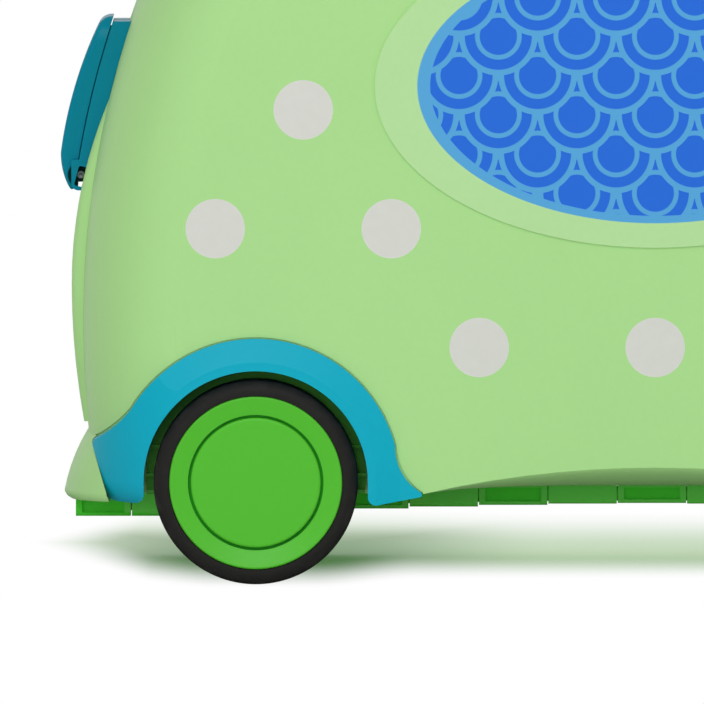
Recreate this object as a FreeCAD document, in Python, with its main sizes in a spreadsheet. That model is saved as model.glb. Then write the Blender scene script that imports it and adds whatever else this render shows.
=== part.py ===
"""Ride-on suitcase: a clamshell case on four wheels, hinged along the bottom seam.

Millimetres. +X runs along the case, -Y is the near side, +Z is up.
The origin is on the floor under the middle of the case.
"""
import FreeCAD
import Part
import Sketcher
import math
import os
from types import SimpleNamespace
from FreeCAD import Placement, Rotation, Vector

DIMENSIONS = [
    # Outline of the case at the seam
    ("end_reach", 242.3, "middle of the case to its end wall"),
    ("end_radius", 400, "curve of the end wall, seen from the side"),
    ("bulge_height", 108, "height where the case is longest"),
    ("corner_radius", 95, "top corners of the case"),
    ("seat_height", 300, "lowest point of the saddle"),
    ("seat_radius", 330, "hollow of the saddle"),
    ("foot_radius", 12, "bottom corners of the case"),
    ("floor_height", 36.5, "underside of the case beside the wheels"),
    ("belly_seam", 36.9, "underside at the middle of the seam"),
    ("belly_side", 49.4, "lower edge at the middle of the side"),
    ("belly_half", 105, "half length of the raised belly"),
    ("belly_slope", 0.066, "rise of the underside away from the hinge channel"),
    # Section of the case across its depth
    ("half_depth", 105, "seam to the flat side"),
    ("straight_depth", 40, "depth before the walls begin to roll over"),
    ("end_round", 42, "how far the walls roll in"),
    ("cap_angle", 84, "roll angle where the flat side begins"),
    ("draft", 0.03, "slope of the walls towards the side"),
    ("wall", 2.8, "wall thickness"),
    ("seam_half", 0.8, "half of the gap between the halves"),
    ("rim_depth", 7.5, "depth of the thick rim at the seam"),
    ("rim_width", 6.5, "width of the thick rim at the seam"),
    # Seam rib and toe at each end
    ("rib_reach", 246.3, "middle of the case to the seam rib where it stands out most"),
    ("rib_height", 123, "height where the seam rib stands out most"),
    ("rib_drop", 6, "seam rib's ridge to its outer side"),
    ("rib_inner", 24.5, "seam to the inner side of the rib"),
    ("rib_outer", 32, "seam to the outer side of the rib"),
    ("rib_bottom", 64.5, "lower end of the seam rib"),
    ("rib_top", 210, "upper end of the seam rib, inside the wall"),
    ("rib_low_radius", 325, "curve of the rib below its furthest point"),
    ("rib_high_radius", 200, "curve of the rib above its furthest point"),
    ("toe_top", 60.5, "upper edge of the toe"),
    ("toe_bottom", 31, "underside of the toe at the seam"),
    ("toe_lift", 2.8, "rise of the toe's underside away from the seam"),
    ("toe_reach", 249.5, "middle of the case to the toe"),
    ("toe_fade", 92, "depth where the toe has faded into the wall"),
    # Wheels
    ("wheel_x", 168, "middle of the case to the wheel axis"),
    ("wheel_radius", 43, "tyre radius, also the axle height"),
    ("tyre_face", 107, "seam to the outer face of the tyre"),
    ("tyre_width", 28, "width of the tyre"),
    ("tyre_shoulder", 5, "rounding of the tyre"),
    ("ring_radius", 36.5, "outer radius of the rim's ring"),
    ("seat_of_tyre", 34.5, "radius that carries the tyre"),
    ("barrel_radius", 31.5, "inner radius of the rim's barrel"),
    ("cap_radius", 27.4, "hub cap"),
    ("cap_gap", 1.1, "groove round the hub cap"),
    ("axle_radius", 4, "axle"),
    ("thread_radius", 3, "threaded tail of the axle"),
    ("nut_radius", 5.8, "axle nut, centre to corner"),
    ("nut_height", 4.5, "thickness of the axle nut"),
    ("bush_radius", 7, "outer radius of the bush"),
    ("running_gap", 0.06, "radial play of a turning fit"),
    # Wheel wells and fenders
    ("well_radius", 49.4, "wheel well"),
    ("well_back", 70, "seam to the back wall of the well"),
    ("arch_radius", 47.2, "inner edge of the fender"),
    ("liner_wall", 1.8, "thickness of the fender's inner wall"),
    ("fender_radius", 60.7, "outer edge of the fender"),
    ("fender_proud", 4, "fender lip beyond the case side"),
    ("fender_edge", 1.7, "fender rim beyond the case side"),
    ("fender_gap", 0.25, "fender to the shell under it"),
    ("fender_seat", 0.8, "depth of the fender's seat in the shell"),
    ("fender_line", 0.65, "groove between the fender's edge and the shell"),
    ("fender_wrap", 46, "seam to the fender's tip on the end wall"),
    ("fender_sole", 14, "width of the fender's foot under the case"),
    ("toe_line", 0.2, "groove between the fender's edge and the toe"),
    # Hinge
    ("pin_height", 32.5, "hinge axis above the floor"),
    ("pin_radius", 1.5, "hinge pin and catch pins"),
    ("knuckle_pitch", 29.5, "length of a knuckle with its gap"),
    ("knuckle_gap", 0.45, "gap between knuckles"),
    ("spigot_share", 0.78, "radius of the spigots between knuckles, against the knuckle"),
    ("spigot_gap", 0.3, "play round a spigot in its recess"),
    ("knuckle_radius", 4, "middle knuckle"),
    ("knuckle_growth", 0.0018, "growth of the knuckles towards the ends"),
    ("knuckle_flat", 4.2, "top of the knuckles' flat sides above the pin"),
    ("comb_half", 244.8, "half length of the hinge"),
    ("channel_half", 18.5, "half width of the hinge channel"),
    ("channel_top", 45, "roof of the hinge channel"),
    # Catches
    ("catch_pin_x", 242.5, "catch pivot, from the middle of the case"),
    ("catch_pin_z", 168.8, "catch pivot height"),
    ("catch_eye", 3, "eyes round the catch pivot"),
    ("catch_nose", 249.5, "lever's outer face at the pivot, from the middle of the case"),
    ("catch_round", 11, "upper corners of the lever, seen from the end"),
    ("lever_edge", 2, "rounding of the catch lever's long edges"),
    ("catch_toe", 7, "lower corners of the lever, seen from the end"),
    ("catch_screw_y", 11, "catch screws, from the seam"),
    ("catch_low", 162.3, "lower tip of the lever"),
    ("catch_high", 236, "upper end of the lever"),
    ("lever_near", 22, "lever on the near side of the seam"),
    ("lever_far", 20, "lever on the far side of the seam"),
    ("base_proud", 6.5, "catch base beyond the end wall"),
    # Panels, grips and screws
    ("panel_height", 210, "centre of the oval panel"),
    ("panel_long", 118, "half length of the oval panel"),
    ("panel_tall", 68, "half height of the oval panel"),
    ("panel_proud", 0.9, "oval panel beyond the side"),
    ("pad_half", 98, "half length of the seat panel"),
    ("pad_depth", 64, "half width of the seat"),
    ("pad_proud", 2.4, "seat panel beyond the shell"),
    ("horn_x", 128, "grip horn, forward of the middle"),
    ("horn_y", 50, "grip horn, away from the seam"),
    ("horn_root", 296, "foot of the horn's axis"),
    ("horn_length", 76, "grip horn along its axis"),
    ("horn_tilt", 24, "grip horn leaning outward"),
    ("screw_radius", 1.5, "screw shank"),
    ("screw_circle", 55.5, "fender screws, from the wheel axis"),
]

doc = FreeCAD.newDocument("ride_on_suitcase")
sheet = doc.addObject("Spreadsheet::Sheet", "dims")
for row, (alias, amount, meaning) in enumerate(DIMENSIONS, start=1):
    sheet.set(f"A{row}", alias)
    sheet.set(f"B{row}", str(amount))
    sheet.setAlias(f"B{row}", alias)
    sheet.set(f"C{row}", meaning)
doc.recompute()


class Size:
    """A number together with the sheet formula that gives it."""

    def __init__(self, value, formula):
        self.value = value
        self.formula = formula

    def __float__(self):
        return float(self.value)

    def __add__(self, other):
        return Size(self.value + float(other), f"({self.formula} + {formula_of(other)})")

    def __sub__(self, other):
        return Size(self.value - float(other), f"({self.formula} - {formula_of(other)})")

    def __mul__(self, factor):
        return Size(self.value * float(factor), f"({self.formula} * {formula_of(factor)})")

    def __neg__(self):
        return self * -1


def formula_of(amount):
    return amount.formula if isinstance(amount, Size) else f"({float(amount)})"


dim = SimpleNamespace(**{a: Size(sheet.get(a), f"dims.{a}") for a, _, _ in DIMENSIONS})
num = SimpleNamespace(**{a: float(sheet.get(a)) for a, _, _ in DIMENSIONS})

parts = {}


def keep(item, name):
    """Register a finished sub-part under its node name."""
    item.Label = name
    parts[name] = item
    return item


def bind(item, **sizes):
    for name, size in sizes.items():
        item.setExpression(name, formula_of(size))


def place(item, x=0, y=0, z=0, rotation=Rotation()):
    item.Placement = Placement(Vector(float(x), float(y), float(z)), rotation)
    for axis, amount in zip("xyz", (x, y, z)):
        if isinstance(amount, Size):
            item.setExpression(f"Placement.Base.{axis}", amount.formula)
    return item


def solid(name, shape):
    """A sub-part whose form is made from curves and surfaces."""
    item = doc.addObject("Part::Feature", name)
    item.Shape = shape
    item.Placement = Placement()
    return item


def block(name, corner, length, width, height):
    item = doc.addObject("Part::Box", name)
    bind(item, Length=length, Width=width, Height=height)
    return place(item, *corner)


def rod(name, radius, length, start, axis):
    item = doc.addObject("Part::Cylinder", name)
    bind(item, Radius=radius, Height=length)
    return place(item, *start, rotation=Rotation(Vector(0, 0, 1), axis))


def fuse(name, items):
    item = doc.addObject("Part::MultiFuse", name)
    item.Shapes = items
    return item


def cut(name, base, tool):
    item = doc.addObject("Part::Cut", name)
    item.Base = base
    item.Tool = tool
    return item


def group(name, items):
    item = doc.addObject("Part::Compound", name)
    item.Links = items
    return item


def mirrored(name, source, normal):
    item = doc.addObject("Part::Mirroring", name)
    item.Source = source
    item.Base = Vector(0, 0, 0)
    item.Normal = normal
    return item


ACROSS = Vector(0, 1, 0)
ALONG = Vector(1, 0, 0)


def turned_body(name, corners):
    """A body turned about the Y axis from an outline of (radius, y) corners."""
    body = doc.addObject("PartDesign::Body", name)
    sketch = body.newObject("Sketcher::SketchObject", f"{name}_outline")
    plane = next(item for item in body.Origin.OriginFeatures if item.Role == "XY_Plane")
    sketch.AttachmentSupport = (plane, [""])
    sketch.MapMode = "FlatFace"
    points = [Vector(float(radius), float(y), 0) for radius, y in corners]
    last = len(points)
    for index in range(last):
        sketch.addGeometry(Part.LineSegment(points[index], points[(index + 1) % last]), False)
    for index in range(last):
        sketch.addConstraint(Sketcher.Constraint("Coincident", index, 2, (index + 1) % last, 1))
    for index, (radius, y) in enumerate(corners):
        if float(radius) == 0:
            sketch.addConstraint(Sketcher.Constraint("PointOnObject", index, 1, -2))
        else:
            fix_corner(sketch, "DistanceX", index, radius)
        fix_corner(sketch, "DistanceY", index, y)
    turn = body.newObject("PartDesign::Revolution", f"{name}_turn")
    turn.Profile = sketch
    turn.ReferenceAxis = (sketch, ["V_Axis"])
    turn.Angle = 360
    doc.recompute()
    return body


def fix_corner(sketch, kind, index, size):
    number = sketch.addConstraint(Sketcher.Constraint(kind, -1, 1, index, 1, float(size)))
    sketch.setExpression(f"Constraints[{number}]", formula_of(size))


def round_circles(body, radius, circles):
    """Round the circular edges given as (radius, y) pairs."""
    base = body.Tip
    names = []
    for number, edge in enumerate(base.Shape.Edges, start=1):
        if not isinstance(edge.Curve, Part.Circle):
            continue
        for circle_radius, y in circles:
            same_radius = abs(edge.Curve.Radius - float(circle_radius)) < 1e-4
            if same_radius and abs(edge.Curve.Center.y - float(y)) < 1e-4:
                names.append(f"Edge{number}")
    fillet = body.newObject("PartDesign::Fillet", f"{body.Name}_round")
    fillet.Base = (base, names)
    bind(fillet, Radius=radius)
    doc.recompute()
    return body


# The case outline is a chain of tangent arcs. Every arc keeps its centre when the outline is
# drawn in, so each outline across the depth is parallel to the one at the seam.

def at(x, z, y=0.0):
    return Vector(x, y, z)


def meeting_point(centre_a, radius_a, centre_b, radius_b):
    """The right-hand point at given distances from two centres, in the XZ plane."""
    gap = centre_b - centre_a
    along = (radius_a**2 - radius_b**2 + gap.Length**2) / (2 * gap.Length)
    aside = math.sqrt(radius_a**2 - along**2)
    unit = gap / gap.Length
    options = [centre_a + unit * along + at(unit.z, -unit.x) * side for side in (aside, -aside)]
    return max(options, key=lambda point: point.x)


END_CENTRE = at(num.end_reach - num.end_radius, num.bulge_height)
SEAT_CENTRE = at(0, num.seat_height + num.seat_radius)
CORNER_CENTRE = meeting_point(
    END_CENTRE, num.end_radius - num.corner_radius,
    SEAT_CENTRE, num.seat_radius + num.corner_radius)


def flip(point):
    return Vector(-point.x, point.y, point.z)


def towards(start, target, distance):
    return start + (target - start).normalize() * distance


def arc_about(centre, start, end):
    middle = towards(centre, start + (end - start) * 0.5, (start - centre).Length)
    return Part.Arc(start, middle, end).toShape()


def line(start, end):
    return Part.LineSegment(start, end).toShape()


def through(start, middle, end):
    return Part.Arc(start, middle, end).toShape()


def case_outline(inset, belly, floor, depth):
    """The case outline at one depth, drawn in by inset."""
    end_radius = num.end_radius - inset
    foot_z = floor + num.foot_radius
    reach = end_radius - num.foot_radius
    foot_x = END_CENTRE.x + math.sqrt(reach**2 - (foot_z - END_CENTRE.z)**2)
    foot_centre = at(foot_x, foot_z)
    belly_end = at(num.belly_half, floor)
    foot_low = at(foot_x, floor)
    foot_high = towards(END_CENTRE, foot_centre, end_radius)
    corner_low = towards(END_CENTRE, CORNER_CENTRE, end_radius)
    corner_high = towards(SEAT_CENTRE, CORNER_CENTRE, num.seat_radius + inset)
    edges = [
        through(flip(belly_end), at(0, belly), belly_end),
        line(belly_end, foot_low),
        arc_about(foot_centre, foot_low, foot_high),
        arc_about(END_CENTRE, foot_high, corner_low),
        arc_about(CORNER_CENTRE, corner_low, corner_high),
        arc_about(SEAT_CENTRE, corner_high, flip(corner_high)),
        arc_about(flip(CORNER_CENTRE), flip(corner_high), flip(corner_low)),
        arc_about(flip(END_CENTRE), flip(corner_low), flip(foot_high)),
        arc_about(flip(foot_centre), flip(foot_high), flip(foot_low)),
        line(flip(foot_low), flip(belly_end)),
    ]
    wire = Part.Wire(edges)
    wire.translate(Vector(0, -depth, 0))
    return wire


ROLL_ANGLES = [0, 20, 40, 58, 73, num.cap_angle]


def belly_height(depth):
    """Height of the underside before it curls up to the side."""
    return num.belly_seam + num.belly_slope * (depth - num.channel_half)


def roll(angle, grow):
    """Depth, inset and belly height of the skin at one roll angle, moved outward by grow."""
    turn = math.radians(angle)
    cap = math.radians(num.cap_angle)
    depth_round = (num.half_depth - num.straight_depth) / math.sin(cap)
    depth = num.straight_depth + (depth_round + grow) * math.sin(turn)
    inset = num.end_round - (num.end_round + grow) * math.cos(turn) + num.draft * depth
    share = (1 - math.cos(turn)) / (1 - math.cos(cap))
    curl = num.belly_side - belly_height(num.half_depth)
    belly = belly_height(depth) + curl * share - grow
    return depth, inset, belly


hulls = {}


def hull(grow=0.0):
    """The near half of the case as one solid, its skin moved outward by grow."""
    if grow not in hulls:
        floor = num.floor_height - grow
        seam_inset = num.draft * num.seam_half - grow
        seam_belly = belly_height(num.seam_half) - grow
        outlines = [case_outline(seam_inset, seam_belly, floor, num.seam_half)]
        for angle in ROLL_ANGLES:
            depth, inset, belly = roll(angle, grow)
            outlines.append(case_outline(inset, belly, floor, depth))
        hulls[grow] = Part.makeLoft(outlines, True, False)
    return hulls[grow]


def slab(edges, start, end):
    """A plate cut to an outline in the XZ plane, from one y to another."""
    plate = Part.Face(Part.Wire(edges)).extrude(Vector(0, end - start, 0))
    plate.translate(Vector(0, start, 0))
    return plate


def box(low, high):
    return Part.makeBox(high.x - low.x, high.y - low.y, high.z - low.z, low)


def across_rod(x, z, radius, start, end):
    """A round bar along Y between two distances from the seam, on the near side."""
    return Part.makeCylinder(radius, end - start, Vector(x, -start, z), Vector(0, -1, 0))


def skin(low, high):
    """The layer over the near half between two distances from its surface."""
    return hull(high).cut(hull(low))


FAR_OUT = 400.0
ENDS = (-1, 1)


def end_wall(height, proud=0.0):
    """Distance of the end wall from the middle of the case at a height."""
    radius = num.end_radius + proud
    return END_CENTRE.x + math.sqrt(radius**2 - (height - END_CENTRE.z)**2)


# Case halves

def seam_rib():
    """Crescent bead beside the seam at the +X end, rounded towards the side."""

    def spot(drop, y):
        return at(num.rib_reach - drop, num.rib_height, -y)

    root = 2 * num.rim_width
    crown_y = num.rib_inner + 0.72 * (num.rib_outer - num.rib_inner)
    inner_edge = spot(0, num.rib_inner)
    outer_edge = spot(num.rib_drop, num.rib_outer)
    section = Part.Wire([
        line(spot(root, num.rib_inner), inner_edge),
        through(inner_edge, spot(0.32 * num.rib_drop, crown_y), outer_edge),
        line(outer_edge, spot(root, num.rib_outer)),
        line(spot(root, num.rib_outer), spot(root, num.rib_inner)),
    ])
    bead = Part.Face(section)

    def swept(radius, height):
        """The bead turned from the rib's furthest point to a height."""
        centre = at(num.rib_reach - radius, num.rib_height)
        angle = math.degrees(math.asin((height - num.rib_height) / radius))
        return bead.revolve(centre, -ACROSS, angle)

    lower = swept(num.rib_low_radius, num.rib_bottom)
    return lower.fuse(swept(num.rib_high_radius, num.rib_top))


def toe():
    """Rounded toe at the foot of the +X end; it fades into the wall away from the seam."""
    outlines = []
    for depth in (num.seam_half, 25.0, 45.0, 60.0, 74.0, 84.0):
        over = max(depth - num.straight_depth, 0.0) / (num.half_depth - num.straight_depth)
        inset = num.end_round * (1 - math.sqrt(1 - over**2)) + num.draft * depth
        top = end_wall(num.toe_top) - inset
        proud = (num.toe_reach - end_wall(num.toe_top)) * (1 - (depth / num.toe_fade)**2)
        inner = top - 3 * num.wall
        bottom = num.toe_bottom + num.toe_lift * depth / num.toe_fade
        nose = at(top + proud, bottom + 4)
        brow = at(top, num.toe_top)
        waist = at(top + 0.58 * proud, bottom + 18)
        lip = at(top + proud - 2, bottom)
        lip_middle = at(top + proud - 0.5, bottom + 1.2)
        edges = [
            through(brow, waist, nose),
            through(nose, lip_middle, lip),
            line(lip, at(inner, bottom)),
            line(at(inner, bottom), at(inner, num.toe_top)),
            line(at(inner, num.toe_top), brow),
        ]
        wire = Part.Wire(edges)
        wire.translate(Vector(0, -depth, 0))
        outlines.append(wire)
    return Part.makeLoft(outlines, True, False)


def flip_shape(shape):
    return shape.mirror(Vector(0, 0, 0), ALONG)


def fender_outline(clear=0.0):
    """Edges of the fender round the -X wheel, in the XZ plane, moved out by clear."""
    outer = num.fender_radius + clear
    arch = num.arch_radius
    foot = -9.6 - clear
    wheel = at(-num.wheel_x, num.wheel_radius)

    def ring(radius, angle):
        turn = math.radians(angle)
        return at(radius * math.cos(turn), radius * math.sin(turn))

    inner_tip = at(69.4 + clear, -4.0)
    inner_start = ring(outer, 15)
    outer_start = ring(outer, 150)
    outer_tip = at(-67.8 - clear, 16.7 + clear)
    outer_side = at(-68.7 - clear, 12.8)
    outer_foot = at(-63.0 - clear, -5.8)
    outer_base = at(-58.7, foot)
    arch_outer = at(-arch, -5.4)
    arch_inner = at(arch, -5.6)
    inner_base = at(50.9, foot + 0.2)
    inner_toe = at(68.6 + clear, -6.1 - clear)
    edges = [
        through(inner_tip, at(61.9 + clear, 3.4 + clear), inner_start),
        through(inner_start, ring(outer, 82), outer_start),
        through(outer_start, at(-59.2 - clear, 23.2 + clear), outer_tip),
        through(outer_tip, at(-69.0 - clear, 15.0), outer_side),
        line(outer_side, outer_foot),
        through(outer_foot, at(-61.8 - clear, foot + 1.2), outer_base),
        line(outer_base, at(-51.5, foot)),
        through(at(-51.5, foot), at(-48.3, foot + 1.3), arch_outer),
        line(arch_outer, at(-arch, 0)),
        through(at(-arch, 0), at(0, arch), at(arch, 0)),
        line(at(arch, 0), arch_inner),
        through(arch_inner, at(arch + 0.9, foot + 1.3), inner_base),
        line(inner_base, inner_toe),
        through(inner_toe, at(69.9 + clear, -5.1), inner_tip),
    ]
    for edge in edges:
        edge.translate(wheel)
    return edges


def screw_places():
    """Fender screws of the -X wheel, as points in the XZ plane."""
    wheel = at(-num.wheel_x, num.wheel_radius)
    for angle in (20, 60, 100):
        turn = math.radians(angle)
        yield wheel + at(math.cos(turn), math.sin(turn)) * num.screw_circle


CATCH_SCREW_HEIGHTS = (200, 224)


def catch_screw_rod(height, radius, start, end):
    """A round bar square to the -X end wall, between two distances from its outer face."""
    wall_point = at(-end_wall(height), height, -num.catch_screw_y)
    outward = (at(wall_point.x, wall_point.z) - flip(END_CENTRE)).normalize()
    face = wall_point - outward * num.draft * num.catch_screw_y
    return Part.makeCylinder(radius, end - start, face + outward * start, outward)


def fender_slab(clear):
    """Outline of the -X fender through the case, from its side to its tip on the end wall."""
    return slab(fender_outline(clear), -FAR_OUT, -num.fender_wrap + clear)


PLAN_HEIGHT = 70.0


def fender_room(clear):
    """Space of the -X fender over the shell; its foot is a strip round the case's lower edge."""
    plan = Part.Wire(hull(-num.fender_sole).slice(Vector(0, 0, 1), PLAN_HEIGHT)[0].Edges)
    under = Part.Face(plan).extrude(Vector(0, 0, -PLAN_HEIGHT))
    above = box(
        Vector(-FAR_OUT, -FAR_OUT, num.floor_height + 1 - clear), Vector(FAR_OUT, FAR_OUT, FAR_OUT))
    return fender_slab(clear).cut(under.cut(above))


DOWN_THE_EDGE = Vector(1.47, 0, -4.78)


def trimmed_toe():
    """The -X toe, cut away where the fender covers it and below the fender's foot."""
    cover = fender_slab(num.toe_line)
    below = cover.copy()
    below.translate(DOWN_THE_EDGE)
    return flip_shape(toe()).cut([cover, below])


def case_half():
    """Shell of the near half: skin, seam rib and toes, wells, hinge channel and inside."""
    seat = fender_room(num.fender_line).cut(hull(-num.fender_seat))
    near_toe = trimmed_toe()
    outer = hull().cut([seat, flip_shape(seat)])
    outer = outer.fuse([seam_rib(), flip_shape(seam_rib()), near_toe, flip_shape(near_toe)])
    channel_end = num.comb_half + 0.7
    channel = box(
        Vector(-channel_end, -num.channel_half, 0), Vector(channel_end, 0, num.channel_top))
    toe_relief = box(Vector(-FAR_OUT, -4, 0), Vector(FAR_OUT, 0, num.pin_height + 0.6))
    roof = num.channel_top + num.wall
    channel_wall = box(Vector(-FAR_OUT, -num.channel_half - num.wall, 0), Vector(FAR_OUT, 0, roof))
    deep = box(Vector(-FAR_OUT, -FAR_OUT, 0), Vector(FAR_OUT, -num.rim_depth, FAR_OUT))
    mouth_floor = num.floor_height + num.rim_width
    mouth = Part.Face(case_outline(num.rim_width, num.belly_seam + num.rim_width, mouth_floor, 0))
    inside = hull(-num.wall).common(deep).fuse(mouth.extrude(Vector(0, -num.rim_depth - 1, 0)))
    inside = inside.cut(channel_wall)
    for side in ENDS:
        x = side * num.wheel_x
        well = across_rod(x, num.wheel_radius, num.well_radius, num.well_back, FAR_OUT)
        housing = across_rod(
            x, num.wheel_radius, num.well_radius + num.wall, num.well_back - num.wall, FAR_OUT)
        outer = outer.cut(well)
        inside = inside.cut(housing)
    shell = outer.cut([channel, toe_relief]).cut(inside)
    holes = []
    for side in ENDS:
        x = side * num.wheel_x
        holes.append(across_rod(x, num.wheel_radius, num.axle_radius + 0.3, 50, 80))
        nut_face = num.well_back - num.wall
        nut_pocket = box(
            Vector(x - num.nut_radius - 0.5, -nut_face, num.wheel_radius - num.nut_radius + 0.5),
            Vector(x + num.nut_radius + 0.5, 1 + num.nut_height - nut_face, num.wheel_radius))
        holes.append(nut_pocket)
        for place_of_screw in screw_places():
            x = -side * place_of_screw.x
            holes.append(across_rod(x, place_of_screw.z, num.screw_radius + 0.2, 95, 112))
    for height in CATCH_SCREW_HEIGHTS:
        hole = catch_screw_rod(height, num.screw_radius + 0.2, -2 * num.wall, num.wall)
        holes += [hole, flip_shape(hole)]
    return shell.cut(holes)


shell_near = keep(solid("shell_near", case_half()), "shell_near")
keep(mirrored("shell_far", shell_near, ACROSS), "shell_far")


def spread(name, piece, ends=("rear", "front")):
    """Keep a near rear piece and its three mirrored copies."""
    rear, front = ends
    near_rear = keep(piece, f"{name}_near_{rear}")
    near_front = keep(mirrored(f"{name}_near_{front}", near_rear, ALONG), f"{name}_near_{front}")
    keep(mirrored(f"{name}_far_{rear}", near_rear, ACROSS), f"{name}_far_{rear}")
    keep(mirrored(f"{name}_far_{front}", near_front, ACROSS), f"{name}_far_{front}")


def both_sides(name, piece):
    """Keep a near piece and its copy on the far half."""
    near = keep(piece, f"{name}_near")
    keep(mirrored(f"{name}_far", near, ACROSS), f"{name}_far")


# Fenders: a layer over the case side, bevelled towards its outer edge, with an inner wall

def fender():
    lip = num.half_depth + num.fender_proud
    edge = num.half_depth + num.fender_edge
    bevel_end = num.arch_radius + 3.5
    centre = Vector(-num.wheel_x, 0, num.wheel_radius)
    profile = [
        (0, 0), (FAR_OUT, 0), (FAR_OUT, edge),
        (num.fender_radius, edge), (bevel_end, lip), (0, lip),
    ]
    ring = [centre + Vector(radius, -depth, 0) for radius, depth in profile]
    bevel = Part.Face(Part.makePolygon(ring + ring[:1])).revolve(centre, ACROSS, 360)
    seated = num.fender_gap - num.fender_seat
    cover = skin(seated, num.fender_proud).common(fender_room(0.0)).common(bevel)
    liner_outer = num.arch_radius + num.liner_wall
    lined = across_rod(centre.x, centre.z, liner_outer, num.well_back + 4, num.half_depth + 0.6)
    legs = box(
        centre + Vector(-num.arch_radius, -FAR_OUT, -FAR_OUT), centre + Vector(num.arch_radius, 0, 0))
    hollow = across_rod(centre.x, centre.z, num.arch_radius, 0, FAR_OUT).fuse(legs)
    below = box(Vector(-FAR_OUT, -FAR_OUT, -FAR_OUT), Vector(0, 0, num.wheel_radius - 2.5))
    outward = box(Vector(-FAR_OUT, -FAR_OUT, 0), Vector(0, 0, FAR_OUT))
    liner = lined.cut(hollow).cut(below).common(hull(seated).fuse(cover)).common(outward)
    piece = cover.fuse(liner)
    holes = [across_rod(p.x, p.z, num.screw_radius, 100, num.half_depth + 2) for p in screw_places()]
    return piece.cut(holes).removeSplitter()


spread("fender", solid("fender_near_rear", fender()))


# Wheels: tyre, rim, hub cap and bush turn together on a fixed axle

AXLE_PLACE = (-dim.wheel_x, 0, dim.wheel_radius)
tyre_outer = dim.tyre_face - 0.4
tyre_inner = dim.tyre_face - dim.tyre_width
ring_face = dim.tyre_face - 0.6
ring_root = dim.tyre_face - 4
cap_seat = dim.tyre_face - 5.4
hub_inner = tyre_inner + 1.2
hub_outer = dim.tyre_face - 8
hub_radius = dim.bush_radius + 4.5
web_inner = dim.tyre_face - 19
web_outer = dim.tyre_face - 15
ring_inner = dim.cap_radius + dim.cap_gap

tyre = turned_body("tyre_near_rear", [
    (dim.seat_of_tyre, -tyre_inner),
    (dim.wheel_radius, -tyre_inner),
    (dim.wheel_radius, -tyre_outer),
    (dim.ring_radius + 0.2, -tyre_outer),
    (dim.ring_radius + 0.2, -ring_root),
    (dim.seat_of_tyre, -ring_root),
])
round_circles(tyre, dim.tyre_shoulder, [(dim.wheel_radius, -tyre_inner), (dim.wheel_radius, -tyre_outer)])
spread("tyre", place(tyre, *AXLE_PLACE))

rim = turned_body("rim_near_rear", [
    (dim.bush_radius, -hub_inner),
    (hub_radius, -hub_inner),
    (hub_radius, -web_inner),
    (dim.barrel_radius, -web_inner),
    (dim.barrel_radius, -(tyre_inner + 0.6)),
    (dim.seat_of_tyre, -(tyre_inner + 0.6)),
    (dim.seat_of_tyre, -ring_root),
    (dim.ring_radius, -ring_root),
    (dim.ring_radius, -ring_face),
    (ring_inner, -(ring_face - 2.2)),
    (ring_inner, -cap_seat),
    (dim.cap_radius - 3.2, -cap_seat),
    (dim.cap_radius - 3.2, -(cap_seat - 2)),
    (dim.barrel_radius, -(cap_seat - 2)),
    (dim.barrel_radius, -web_outer),
    (hub_radius, -web_outer),
    (hub_radius, -hub_outer),
    (dim.bush_radius, -hub_outer),
])
round_circles(rim, Size(0.8, "0.8"), [(dim.ring_radius, -ring_face)])
spread("rim", place(rim, *AXLE_PLACE))

cap_face = dim.tyre_face - 1.9
hub_cap = turned_body("hub_cap_near_rear", [
    (0, -cap_seat),
    (dim.cap_radius, -cap_seat),
    (dim.cap_radius, -cap_face),
    (0, -cap_face),
])
round_circles(hub_cap, Size(1.2, "1.2"), [(dim.cap_radius, -cap_face)])
spread("hub_cap", place(hub_cap, *AXLE_PLACE))

bush = turned_body("bush_near_rear", [
    (dim.axle_radius + dim.running_gap, -(hub_inner - 1.6)),
    (dim.bush_radius + 2, -(hub_inner - 1.6)),
    (dim.bush_radius + 2, -hub_inner),
    (dim.bush_radius, -hub_inner),
    (dim.bush_radius, -hub_outer),
    (dim.axle_radius + dim.running_gap, -hub_outer),
])
spread("bush", place(bush, *AXLE_PLACE))

axle_tail = dim.well_back - 12
axle_head = hub_outer + 0.4
axle = turned_body("axle_near_rear", [
    (0, -axle_tail),
    (dim.thread_radius, -axle_tail),
    (dim.thread_radius, -(dim.well_back - dim.wall)),
    (dim.axle_radius, -(dim.well_back - dim.wall)),
    (dim.axle_radius, -axle_head),
    (dim.axle_radius + 3.5, -axle_head),
    (dim.axle_radius + 3.5, -(axle_head + 1.8)),
    (0, -(axle_head + 1.8)),
])
spread("axle", place(axle, *AXLE_PLACE))

carrier_disc = turned_body("carrier_disc", [
    (dim.axle_radius, -(dim.well_back + 0.2)),
    (dim.arch_radius - 0.8, -(dim.well_back + 0.2)),
    (dim.arch_radius - 0.8, -(dim.well_back + 3)),
    (dim.axle_radius + 8, -(dim.well_back + 3)),
    (dim.axle_radius + 6, -(hub_inner - 2)),
    (dim.axle_radius, -(hub_inner - 2)),
])
place(carrier_disc, *AXLE_PLACE)
carrier_foot = block(
    "carrier_foot", (-num.wheel_x - FAR_OUT, -num.half_depth, -FAR_OUT),
    2 * FAR_OUT, dim.half_depth, dim.floor_height + FAR_OUT)
carrier_items = [cut("carrier_plate", carrier_disc, carrier_foot)]
LEDGE_LEVELS = (13, 1, -6)
LEDGE = SimpleNamespace(length=9, depth=5, thickness=1.5)
for level in LEDGE_LEVELS:
    reach = math.sqrt((num.arch_radius - 0.8)**2 - level**2)
    for side in ENDS:
        start = -reach if side < 0 else reach - LEDGE.length
        ledge = block(
            f"ledge_{level + 6}_{side + 1}",
            (-num.wheel_x + start, -num.well_back - 7.5, num.wheel_radius + level),
            LEDGE.length, LEDGE.depth, LEDGE.thickness)
        carrier_items.append(ledge)
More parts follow.
